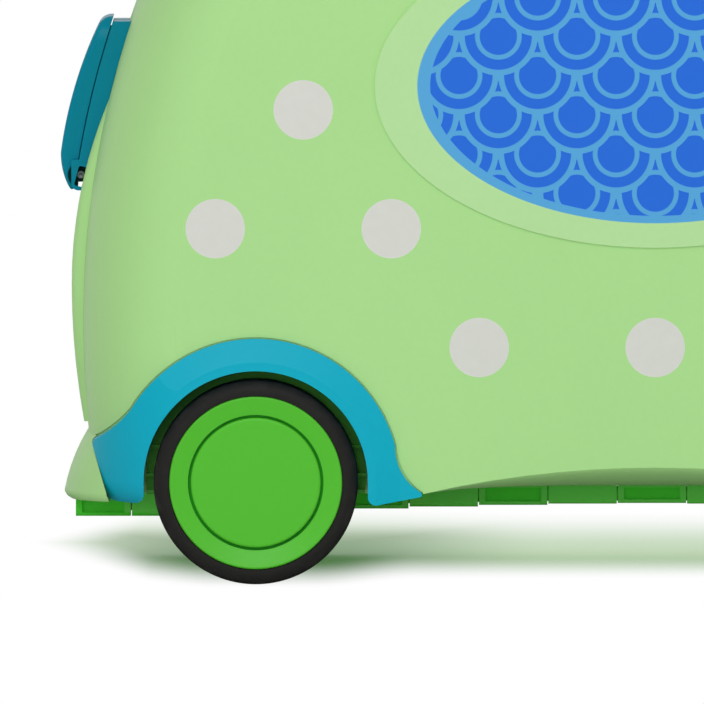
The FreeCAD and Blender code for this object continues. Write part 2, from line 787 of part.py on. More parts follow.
spread("axle_carrier", fuse("axle_carrier_near_rear", carrier_items))

nuts = []
for side in ENDS:
    nut_blank = doc.addObject("Part::Prism", f"nut_blank_{side + 1}")
    nut_blank.Polygon = 6
    bind(nut_blank, Circumradius=dim.nut_radius, Height=dim.nut_height)
    start = (dim.wheel_x * side, -(dim.well_back - dim.wall - dim.nut_height), dim.wheel_radius)
    place(nut_blank, *start, rotation=Rotation(Vector(0, 0, 1), Vector(0, -1, 0)))
    bore = rod(f"nut_bore_{side + 1}", dim.thread_radius, dim.nut_height, start, Vector(0, -1, 0))
    nuts.append(cut(f"axle_nut_{side + 1}", nut_blank, bore))
both_sides("axle_nuts", group("axle_nuts_near", nuts))


def case_screws():
    """The screws of the near half: three in each fender and two in each catch."""
    inner_face = num.half_depth - num.wall
    screws = []
    for side in ENDS:
        for spot in screw_places():
            x = -side * spot.x
            shank = across_rod(x, spot.z, num.screw_radius, inner_face, num.half_depth + 2)
            head = across_rod(x, spot.z, num.screw_radius + 1.3, inner_face - 1.8, inner_face)
            screws.append(shank.fuse(head))
    head_seat = -num.wall - 0.85
    for height in CATCH_SCREW_HEIGHTS:
        shank = catch_screw_rod(height, num.screw_radius, head_seat, 2.5)
        head = catch_screw_rod(height, num.screw_radius + 1.3, head_seat - 1.8, head_seat)
        screws += [shank.fuse(head), flip_shape(shank.fuse(head))]
    return Part.makeCompound(screws)


both_sides("case_screws", solid("case_screws_near", case_screws()))


# Hinge: knuckles in turn on the two halves, larger towards the ends as the underside drops

def knuckles():
    """Start, end, radius and owner of each knuckle from the middle to the +X end."""
    count = 9
    for index in range(count):
        start = 0.0 if index == 0 else (index - 0.5) * num.knuckle_pitch
        end = (index + 0.5) * num.knuckle_pitch
        if index == count - 1:
            end = num.comb_half
        middle = (start + end) / 2
        radius = num.knuckle_radius + num.knuckle_growth * middle**1.5
        yield start, end, min(radius, 9.3), "far" if index % 2 == 0 else "near"


POCKET_MARGIN = 2.7
POCKET_DEPTH = 1.8
POCKET_SILL = 1.6
POCKET_TOP = 2.7
KNUCKLE_ROUND = 0.35
NOTCH_FROM = 7.4


def knuckle_block(radius, low, high):
    """A knuckle with flat sides and underside and rounded lower edges, on the hinge axis."""
    bend = KNUCKLE_ROUND * radius
    mid = radius - bend * (1 - math.sqrt(0.5))
    inner = radius - bend
    top = num.knuckle_flat

    def spot(y, z):
        return Vector(low, y, num.pin_height + z)

    edges = [
        line(spot(-radius, top), spot(-radius, -inner)),
        through(spot(-radius, -inner), spot(-mid, -mid), spot(-inner, -radius)),
        line(spot(-inner, -radius), spot(inner, -radius)),
        through(spot(inner, -radius), spot(mid, -mid), spot(radius, -inner)),
        line(spot(radius, -inner), spot(radius, top)),
        line(spot(radius, top), spot(-radius, top)),
    ]
    block_part = Part.Face(Part.Wire(edges)).extrude(ALONG * (high - low))
    barrel = Part.makeCylinder(radius, high - low, Vector(low, 0, num.pin_height), ALONG)
    return block_part.fuse(barrel)


def spigots(grow, length):
    """Round bars from the far half's knuckles into the near half's, on the hinge axis."""
    bars = []
    for _, end, radius, half in knuckles():
        if end == num.comb_half:
            continue
        way = 1 if half == "far" else -1
        root = Vector(end - way * num.knuckle_gap, 0, num.pin_height)
        bar = Part.makeCylinder(
            num.spigot_share * radius + grow, num.knuckle_gap + length, root, ALONG * way)
        bars += [bar, flip_shape(bar)]
    return bars


SPIGOT_LENGTH = 0.9


def hinge_comb(owner):
    """Leaf and knuckles of one half; each knuckle has a pocket on the other half's side."""
    sign = -1 if owner == "near" else 1
    leaf_low = num.channel_top - 2.6
    leaf_width = num.channel_half - 1.3
    leaf_start = -num.channel_half + 0.3 if owner == "near" else 1.0
    comb = box(
        Vector(-num.comb_half, leaf_start, leaf_low),
        Vector(num.comb_half, leaf_start + leaf_width, num.channel_top - 0.2))
    half_gap = num.knuckle_gap / 2
    for start, end, radius, half in knuckles():
        low = -end + half_gap if start == 0 else start + half_gap
        high = end - half_gap if end < num.comb_half else end
        if half != owner:
            if radius > NOTCH_FROM:
                notch_low, notch_high = sorted((sign * (NOTCH_FROM + 1), 0))
                notch = box(
                    Vector(start - half_gap, notch_low, leaf_low - 1),
                    Vector(end + half_gap, notch_high, num.channel_top))
                comb = comb.cut([notch, flip_shape(notch)])
            continue
        web_low, web_high = sorted((sign * 0.8, sign * radius))
        web = box(Vector(low, web_low, num.pin_height), Vector(high, web_high, leaf_low + 1))
        pocket_low, pocket_high = sorted((-sign * (radius - POCKET_DEPTH), -sign * FAR_OUT))
        pocket = box(
            Vector(low + POCKET_MARGIN, pocket_low, num.pin_height - radius + POCKET_SILL),
            Vector(high - POCKET_MARGIN, pocket_high, num.pin_height + POCKET_TOP))
        knuckle = knuckle_block(radius, low, high).fuse(web).cut(pocket)
        comb = comb.fuse(knuckle)
        if start > 0:
            comb = comb.fuse(flip_shape(knuckle))
    if owner == "far":
        comb = comb.fuse(spigots(0.0, SPIGOT_LENGTH))
    else:
        comb = comb.cut(spigots(num.spigot_gap, SPIGOT_LENGTH + num.spigot_gap))
    bore = num.pin_radius if owner == "near" else num.pin_radius + num.running_gap
    hole = Part.makeCylinder(bore, 2 * FAR_OUT, Vector(-FAR_OUT, 0, num.pin_height), ALONG)
    return comb.cut(hole).removeSplitter()


for owner in ("near", "far"):
    keep(solid(f"hinge_comb_{owner}", hinge_comb(owner)), f"hinge_comb_{owner}")
hinge_pin = rod(
    "hinge_pin", dim.pin_radius, dim.comb_half * 2 - 2, (-(dim.comb_half - 1), 0, dim.pin_height), ALONG)
keep(hinge_pin, "hinge_pin")


# Seam seal on the near half, open along the hinge

def seam_seal():
    outer = Part.Face(case_outline(1.5, num.belly_seam, num.floor_height, num.seam_half))
    inner = Part.Face(case_outline(5.0, num.belly_seam + 3.5, num.floor_height + 3.5, num.seam_half))
    strip = outer.cut(inner).extrude(Vector(0, num.seam_half + 0.4, 0))
    hinge_zone = box(Vector(-FAR_OUT, -FAR_OUT, 0), Vector(FAR_OUT, FAR_OUT, num.channel_top + 4))
    return strip.cut(hinge_zone)


keep(solid("seam_seal", seam_seal()), "seam_seal")


# Catches, drawn at the -X end: base and pin on the near half, strike on the far half

def end_point(height, proud):
    return at(-end_wall(height, proud), height)


def end_plate(low, high, inner, outer, start, end):
    """A plate that follows the end wall between two heights."""
    middle = (low + high) / 2
    edges = [
        through(end_point(low, inner), end_point(middle, inner), end_point(high, inner)),
        line(end_point(high, inner), end_point(high, outer)),
        through(end_point(high, outer), end_point(middle, outer), end_point(low, outer)),
        line(end_point(low, outer), end_point(low, inner)),
    ]
    return slab(edges, start, end)


CATCH_X = -num.catch_pin_x
EYE_GAP = 0.5
BASE_EYE = (-14.0, -8.0)
LEVER_EYES = ((-17.0, BASE_EYE[0] - EYE_GAP), (BASE_EYE[1] + EYE_GAP, -2.0))
CATCH_PIN_SPAN = (-18.6, -1.8)
CATCH_MIDDLE = 206.0
LEVER_BACK = num.base_proud + 0.45
TOOTH = (203.0, 227.0)
TOOTH_HEIGHT = 2.9
TOOTH_ROOM = 5.0


def pin_bar(radius, start, end):
    return Part.makeCylinder(radius, end - start, Vector(CATCH_X, start, num.catch_pin_z), ACROSS)


SUNK = -2.0
RIDGE = (-12.5, -9.5)
RIDGE_GAP = 0.6
CHEEK = (-20.9, -18.8)


def ridge(grow):
    """Rib on the base that fits a groove inside the lever."""
    start, end = RIDGE
    return end_plate(
        num.catch_pin_z + 7 - grow, num.catch_high - 4 + grow,
        SUNK, num.base_proud + 1.8 + grow, start - grow, end + grow)


WINDOW = SimpleNamespace(width=3.7, height=8.6, rise=-0.6, tilt=15, bend=0.9)


def cheek_window():
    """Slanted opening in the side of the base, over the pin's end."""
    start, end = CHEEK
    low = Vector(-WINDOW.width / 2, start - 1, -WINDOW.height / 2)
    opening = Part.makeBox(WINDOW.width, end - start + 2, WINDOW.height, low)
    corners = [edge for edge in opening.Edges if abs(edge.tangentAt(0).y) > 0.9]
    opening = opening.makeFillet(WINDOW.bend, corners)
    opening.rotate(Vector(0, 0, 0), ACROSS, WINDOW.tilt)
    opening.translate(at(CATCH_X, num.catch_pin_z + WINDOW.rise))
    return opening


def cheek():
    """Side wall of the base beside the pivot, with the window over the pin's end."""
    start, end = CHEEK
    low, high = num.catch_low, num.catch_pin_z + 6.5
    bend = 3.0
    outer = CATCH_X - 4
    inner = CATCH_X + 6
    corner = at(outer + bend * (1 - math.sqrt(0.5)), low + bend * (1 - math.sqrt(0.5)))
    edges = [
        line(at(inner, low), at(outer + bend, low)),
        through(at(outer + bend, low), corner, at(outer, low + bend)),
        line(at(outer, low + bend), at(outer, high)),
        line(at(outer, high), at(inner, high)),
        line(at(inner, high), at(inner, low)),
    ]
    return slab(edges, start, end).cut(cheek_window())


def catch_base():
    plate = end_plate(num.catch_pin_z + 6, num.catch_high - 2, SUNK, num.base_proud, -21.0, -1.5)
    plate = plate.fuse([ridge(0.0), cheek()])
    start, end = BASE_EYE
    arm = box(
        Vector(CATCH_X - num.catch_eye + 1, start, num.catch_pin_z),
        Vector(CATCH_X + 2.2, end, num.catch_pin_z + 8))
    piece = plate.fuse([arm, pin_bar(num.catch_eye, start, end)])
    holes = [catch_screw_rod(height, num.screw_radius, -1, 2.5) for height in CATCH_SCREW_HEIGHTS]
    return piece.cut([pin_bar(num.pin_radius, -FAR_OUT, 0), *holes]).cut(hull(0.1))


def lever_face():
    """The lever's shape seen from the end, a tapered shield with rounded corners."""
    middle = (num.lever_far - num.lever_near) / 2
    half_top = (num.lever_far + num.lever_near) / 2
    half_low = half_top - 4
    low = num.catch_low - 1
    high = num.catch_high + 1
    big = num.catch_round
    toe_round = num.catch_toe

    def spot(side, inward, half, z):
        return Vector(-FAR_OUT, middle + side * (half - inward), z)

    def corner(side, half, z, up, size):
        """Rounded corner: its end on the level edge, its middle and its end on the side edge."""
        bend = size * (1 - math.sqrt(0.5))
        return [
            spot(side, size, half, z),
            spot(side, bend, half, z + up * bend),
            spot(side, 0, half, z + up * size),
        ]

    low_far = corner(1, half_low, low, 1, toe_round)
    high_far = corner(1, half_top, high, -1, big)
    high_near = corner(-1, half_top, high, -1, big)
    low_near = corner(-1, half_low, low, 1, toe_round)
    edges = [
        line(low_near[0], low_far[0]),
        through(*low_far),
        line(low_far[2], high_far[2]),
        through(*reversed(high_far)),
        line(high_far[0], high_near[0]),
        through(*high_near),
        line(high_near[2], low_near[2]),
        through(*reversed(low_near)),
    ]
    return Part.Face(Part.Wire(edges)).extrude(Vector(FAR_OUT, 0, 0))


def softened(lever):
    """Round the two long outer edges of the lever."""
    edges = []
    for face in lever.Faces:
        if abs(face.normalAt(0, 0).y) < 0.9:
            continue
        for edge in face.Edges:
            if edge.Curve.TypeId != "Part::GeomLine" and edge.CenterOfMass.x < CATCH_X - num.catch_eye:
                edges.append(edge)
    return lever.makeFillet(num.lever_edge, edges)


# How far the lever's outer face stands off the end wall, from its tip up to its top
LEVER_OFF = SimpleNamespace(tip=8.2, shoulder=14.7, middle=14.6, crown=12, top=10.4)
LEVER_FOOT = at(3.0, 1.0)


def catch_lever():
    low_tip = end_point(num.catch_low, LEVER_OFF.tip)
    shoulder = end_point(num.catch_pin_z + 9.5, LEVER_OFF.shoulder)
    crown = end_point(num.catch_high - 4, LEVER_OFF.crown)
    top_inner = end_point(num.catch_high, LEVER_BACK)
    bottom_inner = end_point(num.catch_pin_z + 6, LEVER_BACK)
    foot_inner = low_tip + LEVER_FOOT
    edges = [
        through(low_tip, at(-num.catch_nose, num.catch_pin_z - 0.6), shoulder),
        through(shoulder, end_point(CATCH_MIDDLE, LEVER_OFF.middle), crown),
        through(crown, end_point(num.catch_high - 0.8, LEVER_OFF.top), top_inner),
        through(top_inner, end_point(CATCH_MIDDLE, LEVER_BACK), bottom_inner),
        line(bottom_inner, foot_inner),
        line(foot_inner, low_tip),
    ]
    wall = softened(slab(edges, -num.lever_near, num.lever_far).common(lever_face()).Solids[0])
    (_, slot_start), (slot_end, _) = LEVER_EYES
    base_slot = box(
        Vector(-FAR_OUT, slot_start, num.catch_low - 5), Vector(0, slot_end, num.catch_pin_z + 9))
    eyes = []
    for eye_start, eye_end in LEVER_EYES:
        arm = box(
            Vector(CATCH_X - num.catch_eye - 1, eye_start, num.catch_pin_z - num.catch_eye),
            Vector(CATCH_X, eye_end, num.catch_pin_z + num.catch_eye))
        eyes.append(pin_bar(num.catch_eye, eye_start, eye_end).fuse(arm))
    tooth_low, tooth_high = TOOTH
    strike_slot = end_plate(
        tooth_low - TOOTH_ROOM, tooth_high + TOOTH_ROOM,
        0.0, num.base_proud + TOOTH_HEIGHT + 1, 5.0, num.lever_far + 1)
    piece = wall.cut([base_slot, strike_slot, ridge(RIDGE_GAP)]).fuse(eyes)
    return piece.cut(pin_bar(num.pin_radius + num.running_gap, -FAR_OUT, 0))


def strike():
    plate = end_plate(TOOTH[0] - 11, num.catch_high - 2, SUNK, num.base_proud, 1.5, 19.0)
    tooth = end_plate(*TOOTH, 0.0, num.base_proud + TOOTH_HEIGHT, 8.0, 11.0)
    holes = [catch_screw_rod(height, num.screw_radius, -1, 2.5) for height in CATCH_SCREW_HEIGHTS]
    taken = [shape.mirror(Vector(0, 0, 0), ACROSS) for shape in (hull(0.1), *holes)]
    return plate.fuse(tooth).cut(taken).removeSplitter()


def both_ends(name, piece):
    """Keep a rear piece and its copy at the front."""
    rear = keep(piece, f"{name}_rear")
    keep(mirrored(f"{name}_front", rear, ALONG), f"{name}_front")


both_ends("catch_base", solid("catch_base_rear", catch_base()))
both_ends("catch_lever", solid("catch_lever_rear", catch_lever()))
both_ends("catch_strike", solid("catch_strike_rear", strike()))
pin_start, pin_end = CATCH_PIN_SPAN
pin_foot = (-dim.catch_pin_x, pin_start, dim.catch_pin_z)
pin_rod = rod("catch_pin_rod", dim.pin_radius, pin_end - pin_start, pin_foot, ACROSS)
pin_hollow = rod("catch_pin_hollow", dim.pin_radius * 0.55, dim.pin_radius, pin_foot, ACROSS)
both_ends("catch_pin", cut("catch_pin_rear", pin_rod, pin_hollow))


# Oval side panels, seat panels and grip horns

def side_panel():
    centre = Vector(0, -num.rim_depth, num.panel_height)
    long_end = centre + Vector(num.panel_long, 0, 0)
    tall_end = centre + Vector(0, 0, num.panel_tall)
    ellipse = Part.Ellipse(long_end, tall_end, centre)
    plate = Part.Face(Part.Wire(ellipse.toShape())).extrude(Vector(0, -FAR_OUT, 0))
    return skin(0.0, num.panel_proud).common(plate)


def seat_panel():
    round_off = 26.0
    near = -num.pad_depth
    inner = -num.seam_half - 0.6
    half = num.pad_half

    def flat(x, y):
        return Vector(x, y, num.seat_height - 60)

    slant = round_off * (1 - math.sqrt(0.5))
    side_end = flat(half, near + round_off)
    bend = flat(half - slant, near + slant)
    long_end = flat(half - round_off, near)
    edges = [
        line(flat(-half, inner), flat(half, inner)),
        line(flat(half, inner), side_end),
        through(side_end, bend, long_end),
        line(long_end, flip(long_end)),
        through(flip(long_end), flip(bend), flip(side_end)),
        line(flip(side_end), flat(-half, inner)),
    ]
    plug = Part.Face(Part.Wire(edges)).extrude(Vector(0, 0, FAR_OUT))
    return skin(0.0, num.pad_proud).common(plug)


both_sides("side_panel", solid("side_panel_near", side_panel()))
both_sides("seat_panel", solid("seat_panel_near", seat_panel()))


def grip_horn():
    """A round grip with a waist and a ball end, trimmed to sit on the shell."""
    length = num.horn_length
    foot, waist, ball = 17.0, 11.0, 14.5
    neck = length - ball
    edges = [
        line(at(0, 0), at(foot, 0)),
        line(at(foot, 0), at(foot, 0.33 * length)),
        through(at(foot, 0.33 * length), at(waist, 0.55 * length), at(ball, neck)),
        through(at(ball, neck), at(ball * math.sqrt(0.5), neck + ball * math.sqrt(0.5)), at(0, length)),
        line(at(0, length), at(0, 0)),
    ]
    horn = Part.Face(Part.Wire(edges)).revolve(Vector(0, 0, 0), Vector(0, 0, 1), 360)
    horn.rotate(Vector(0, 0, 0), ALONG, num.horn_tilt)
    horn.translate(Vector(num.horn_x, -num.horn_y, num.horn_root))
    return horn.cut(hull())


both_sides("grip_horn", solid("grip_horn_near", grip_horn()))


# Write the sub-parts

doc.recompute()
faults = [item.Name for item in doc.Objects if {"Invalid", "Error"} & set(item.State)]
for name, item in parts.items():
    if item.Shape.isNull() or not item.Shape.isValid():
        faults.append(name)
if faults:
    raise RuntimeError(f"failed sub-parts: {faults}")
os.makedirs("parts", exist_ok=True)
for name, item in parts.items():
    item.Shape.exportStep(f"parts/{name}.step")
    extent = item.Shape.BoundBox
    print(f"{name}: {len(item.Shape.Solids)} solid, {item.Shape.Volume / 1000:.2f} cm3,"
          f" x {extent.XMin:.1f} to {extent.XMax:.1f}, y {extent.YMin:.1f} to {extent.YMax:.1f},"
          f" z {extent.ZMin:.1f} to {extent.ZMax:.1f}")
print(len(parts), "sub-parts")
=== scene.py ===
# %% [markdown]
# # A ride-on suitcase, dressed for its picture
#
# This is a child's suitcase of hard plastic, with a wheel under each corner and a saddle on
# top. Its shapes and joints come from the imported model, which was drawn in CAD to be exact.
# This script adds what a camera sees: the finish of every moulded piece, the printed
# decoration, a floor, the light and a camera.
#
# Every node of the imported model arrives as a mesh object, in metres. A node could be hidden and
# modelled again here, but these shapes are hard and already right, so each one stays and gets a
# better material.

import math

import bpy
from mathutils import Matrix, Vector

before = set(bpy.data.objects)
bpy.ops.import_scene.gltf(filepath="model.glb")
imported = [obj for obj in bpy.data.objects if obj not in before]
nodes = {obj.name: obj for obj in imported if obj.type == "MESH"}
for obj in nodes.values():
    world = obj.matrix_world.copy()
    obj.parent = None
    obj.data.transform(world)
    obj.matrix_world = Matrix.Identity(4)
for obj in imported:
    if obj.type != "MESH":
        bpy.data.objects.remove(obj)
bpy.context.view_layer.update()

# %% [markdown]
# The picture was taken from far off, almost level with the wheels, so that the near wheel is a
# true circle and nothing leans. A camera without perspective could show that too, but a long
# lens at ten metres is what a photographer would use. A short lens close by would show the far
# wheels beside the near ones. The lens follows from the width of case that has to fill the
# picture.

# %% Camera
AIM = Vector((-0.1275, 0, 0.0926))
DISTANCE = 10.0
ELEVATION = math.radians(3)
VIEW_WIDTH = 0.2992
SENSOR_WIDTH = 36
CLIP_START = 0.1
CLIP_END = 100

lens = bpy.data.cameras.new("camera")
camera = bpy.data.objects.new("camera", lens)
bpy.context.scene.collection.objects.link(camera)
lens.sensor_width = SENSOR_WIDTH
lens.lens = SENSOR_WIDTH * DISTANCE / VIEW_WIDTH
lens.clip_start = CLIP_START
lens.clip_end = CLIP_END
camera.location = AIM + DISTANCE * Vector((0, -math.cos(ELEVATION), math.sin(ELEVATION)))
camera.rotation_euler = (math.pi / 2 - ELEVATION, 0, 0)
bpy.context.scene.camera = camera
bpy.context.scene.view_settings.view_transform = "Standard"
print("lens", round(lens.lens), "mm")

# %% [markdown]
# A finish is a small program of shader nodes. It could be drawn in the node editor, or written
# node by node, but both are long and hard to follow. Here one class wraps a socket. A sum or a
# product of two fields then adds the Math node by itself, and the rest of the script reads as
# arithmetic.


# %% Fields: sockets that can be used in sums
class Field:
    """The value of a socket over a surface, usable like a number."""

    def __init__(self, graph, socket):
        self.graph = graph
        self.socket = socket

    def math(self, operation, *others, swap=False):
        values = [*others, self] if swap else [self, *others]
        inputs = dict(zip(("Value", "Value_001"), values))
        return self.graph.node("Math", {"operation": operation}, inputs)

    def __add__(self, other):
        return self.math("ADD", other)

    def __sub__(self, other):
        return self.math("SUBTRACT", other)

    def __rsub__(self, other):
        return self.math("SUBTRACT", other, swap=True)

    def __mul__(self, other):
        return self.math("MULTIPLY", other)

    def __truediv__(self, other):
        return self.math("DIVIDE", other)

    def __pow__(self, other):
        return self.math("POWER", other)

    def __abs__(self):
        return self.math("ABSOLUTE")

    def __neg__(self):
        return self * -1

    def __lt__(self, other):
        return self.math("LESS_THAN", other)

    def __gt__(self, other):
        return self.math("GREATER_THAN", other)

    def most(self, other):
        return self.math("MAXIMUM", other)

    def floor(self):
        return self.math("FLOOR")

    def is_odd(self):
        """1 where a whole number is odd and 0 where it is even."""
        return self.math("FLOORED_MODULO", 2.0)

    def step(self, low, high):
        """0 below low and 1 above high, with a smooth change between."""
        inputs = {"Value": self, "From Min": low, "From Max": high}
        return self.graph.node("MapRange", {"interpolation_type": "SMOOTHSTEP"}, inputs)

    __radd__ = __add__
    __rmul__ = __mul__


def distance(*sides):
    """Length of a vector given by its sides."""
    return sum(side * side for side in sides) ** 0.5


# %% [markdown]
# A graph owns one node tree, that of a material or of the surround. Its `node` method is the
# only place where nodes are made: it takes the node's type, its settings and what goes into its
# sockets. In a material the place of a surface point comes as the fields x, y and z, in metres.
# They belong to the piece and not to the room, so a pattern moves along when the case opens or
# a wheel turns.


# %% Graphs of nodes
class Graph:
    """A node tree that is built up field by field."""

    def __init__(self, tree, place):
        self.tree = tree
        self.place = self.node("TexCoord", {}, {}, out=place)
        inputs = {"Vector": self.place}
        self.x, self.y, self.z = self.node("SeparateXYZ", {}, inputs, out=("X", "Y", "Z"))

    def feed(self, node, socket, value):
        """Link a field to a socket, or set a number or colour on it."""
        entry = next(s for s in node.inputs if socket in (s.identifier, s.name))
        if isinstance(value, Field):
            self.tree.links.new(value.socket, entry)
        elif hasattr(entry.default_value, "__len__"):
            value = tuple(value)
            missing = len(entry.default_value) - len(value)
            entry.default_value = value + (1.0,) * missing
        else:
            entry.default_value = value

    def node(self, kind, settings, inputs, out=None):
        """Add a node by type, set it up, feed it and give back its first or named outputs."""
        node = self.tree.nodes.new("ShaderNode" + kind)
        for name, value in settings.items():
            setattr(node, name, value)
        for socket, value in inputs.items():
            self.feed(node, socket, value)
        if out is None:
            return Field(self, next(s for s in node.outputs if s.enabled))
        if isinstance(out, str):
            return Field(self, node.outputs[out])
        return [Field(self, node.outputs[name]) for name in out]

    def shaders(self, share, first, second):
        """Shader that goes from first to second as share goes from 0 to 1."""
        inputs = {"Fac": share, "Shader": first, "Shader_001": second}
        return self.node("MixShader", {}, inputs)

    def rays(self):
        """Two masks: rays that show a picture of what they meet, and the mirrored ones alone."""
        names = ("Is Camera Ray", "Is Glossy Ray", "Is Transmission Ray")
        direct, mirrored, refracted = self.node("LightPath", {}, {}, out=names)
        return direct.most(mirrored).most(refracted), mirrored


# %% [markdown]
# A finish is the graph of one material round its Principled shader, which can be plastic,
# rubber or metal by its settings. Noise, colour mixing and relief get short names here, because
# every finish below uses them. Relief is a Bump node: the real grain is a few hundredths of a
# millimetre deep, far too fine to be worth modelling.


# %% Finishes
class Finish(Graph):
    """A material with a Principled shader."""

    def __init__(self, name, constants):
        self.material = bpy.data.materials.new(name)
        self.material.use_nodes = True
        super().__init__(self.material.node_tree, "Object")
        self.shader = self.tree.nodes["Principled BSDF"]
        for socket, value in constants.items():
            self.feed(self.shader, socket, value)

    def noise(self, size, detail, stretch=None):
        """Cloudy noise from 0 to 1 whose patches are about size metres across."""
        where = self.place
        if stretch:
            where = self.node("VectorMath", {"operation": "MULTIPLY"},
                              {"Vector": self.place, "Vector_001": stretch})
        inputs = {"Vector": where, "Scale": 1 / size, "Detail": detail}
        return self.node("TexNoise", {"noise_dimensions": "3D"}, inputs, out="Fac")

    def drift(self, size, detail, stretch=None):
        """The same noise from -0.5 to 0.5, to be added to a mean value."""
        return self.noise(size, detail, stretch) - 0.5

    def mix(self, share, first, second):
        """Colour that goes from first to second as share goes from 0 to 1."""
        inputs = {"Factor_Float": share, "A_Color": first, "B_Color": second}
        return self.node("Mix", {"data_type": "RGBA"}, inputs)

    def shade(self, colour, amount):
        """The colour made lighter or darker by the factor amount."""
        level = self.node("CombineColor", {}, {"Red": amount, "Green": amount, "Blue": amount})
        inputs = {"Factor_Float": 1.0, "A_Color": colour, "B_Color": level}
        return self.node("Mix", {"data_type": "RGBA", "blend_type": "MULTIPLY"}, inputs)

    def relief(self, height, depth):
        """Feed a height field, 0 to 1 for depth metres, to the surface normal."""
        normal = self.node("Bump", {}, {"Height": height, "Distance": depth, "Strength": 1.0})
        self.feed(self.shader, "Normal", normal)

    def colour(self, value):
        self.feed(self.shader, "Base Color", value)

    def roughness(self, value):
        self.feed(self.shader, "Roughness", value)

    def put_on(self, *names):
        """Make this the only material of the named nodes."""
        for name in names:
            mesh = nodes[name].data
            mesh.materials.clear()
            mesh.materials.append(self.material)
        print(self.material.name, "on", len(names), "nodes,", len(self.tree.nodes), "shader nodes")


# %% [markdown]
# Paints are easiest to choose as display values from 0 to 255, but a shader wants linear light.
# Nodes could convert them in every material. It is simpler to convert the numbers once, in
# Python. The case is alike on both sides and at both ends, so most pieces come in pairs or in
# fours, and two helpers spell out their names.

# %% Paints and names
SIDES = ("near", "far")
ENDS = ("rear", "front")


def linear(red, green, blue):
    """Linear colour of a paint given in display values from 0 to 255."""
    def one(value):
        share = value / 255
        return share / 12.92 if share <= 0.04045 else ((share + 0.055) / 1.055) ** 2.4
    return tuple(one(value) for value in (red, green, blue))


def corners(name):
    """The four copies of a piece, one at each wheel."""
    return [f"{name}_{side}_{end}" for side in SIDES for end in ENDS]


def pair(name, kinds):
    """The two copies of a piece, one on each side or at each end."""
    return [f"{name}_{kind}" for kind in kinds]


print("a piece in fours:", *corners("tyre"))

# %% [markdown]
# Most of the case is injection-moulded plastic, and that is never one even colour. The pigment
# drifts a little, the steel mould leaves a fine grain, and the gloss changes where hands and
# floors have rubbed it. A plain Principled shader would look like wet paint. One function gives
# every plastic piece these three things, each at its own scale, and the pieces differ only in
# paint and gloss.

# %% Moulded plastic
PLASTIC_IOR = 1.47
CLOUD_SIZE = 0.07
SPECK_SIZE = 0.003
RUB_SIZE = 0.012
RUB_STRETCH = (1, 1, 2.5)
GRAIN_SIZE = 0.0007
CLOUD_COLOUR = 0.06
SPECK_COLOUR = 0.03
RUB_GLOSS = 0.10
CLOUD_GLOSS = 0.06


def moulded(name, paint, roughness, grain=0.00002, shine=0.3):
    """Satin plastic with drift, grain and uneven gloss. Gives the finish and its colour."""
    finish = Finish(name, {"IOR": PLASTIC_IOR, "Specular IOR Level": shine})
    cloud = finish.drift(CLOUD_SIZE, detail=3)
    speck = finish.drift(SPECK_SIZE, detail=2)
    rub = finish.drift(RUB_SIZE, detail=4, stretch=RUB_STRETCH)
    colour = finish.shade(paint, 1 + CLOUD_COLOUR * cloud + SPECK_COLOUR * speck)
    finish.colour(colour)
    finish.roughness(roughness + RUB_GLOSS * rub + CLOUD_GLOSS * cloud)
    finish.relief(finish.noise(GRAIN_SIZE, detail=3), depth=grain)
    return finish, colour


print("plastic clouds", round(1000 * CLOUD_SIZE), "mm, grain", 1000 * GRAIN_SIZE, "mm")

# %% [markdown]
# The printed decoration has to keep clear of the wheels and of the oval panel on the side, so
# both are given here as plain measures. An oval is a stretched circle: length and height are
# divided by the oval's own halves before the distance is taken, and it comes out as 1 on the
# edge.

# %% Wheels and oval, seen from the side
WHEEL_X = 0.168
WHEEL_Z = 0.043
OVAL_HALF_LENGTH = 0.118
OVAL_HALF_HEIGHT = 0.068
OVAL_Z = 0.210


def oval_share(x, z, margin=0.0):
    """0 at the middle of the oval panel, 1 on its edge."""
    return distance(x / (OVAL_HALF_LENGTH + margin), (z - OVAL_Z) / (OVAL_HALF_HEIGHT + margin))


def off_axle(x, z):
    """Distance from the nearest axle."""
    return distance(abs(x) - WHEEL_X, z - WHEEL_Z)


print("oval", 2000 * OVAL_HALF_LENGTH, "mm long; wheels", 2000 * WHEEL_X, "mm apart")

# %% [markdown]
# The case halves are light green with a plain decoration of off-white dots on the flat sides.
# The dots are in-mould print, so they need colour and no thickness. Thin discs laid on the side
# would stand proud of it and would have to be bent to its curve. A pattern that is worked out
# from the position follows any curve by itself.
#
# The nearest point of a staggered grid is found first. A dot shows only where that point lies
# on the flat of the side, clear of the oval panel and of the wheel arches, so that no dot is
# cut. The surface normal tells the outside from the inside, which has no print.

# %% Dots
DOT_RADIUS = 0.0125
DOT_EDGE = 0.0001
DOT_PITCH = 0.074
ROW_PITCH = 0.050
FIRST_ROW = 0.100
FLAT_HALF_LENGTH = 0.19
FLAT_LOW = 0.07
FLAT_HIGH = 0.22
ARCH_CLEARANCE = 0.085
OVAL_CLEARANCE = 1.06
OUTWARD = 0.06


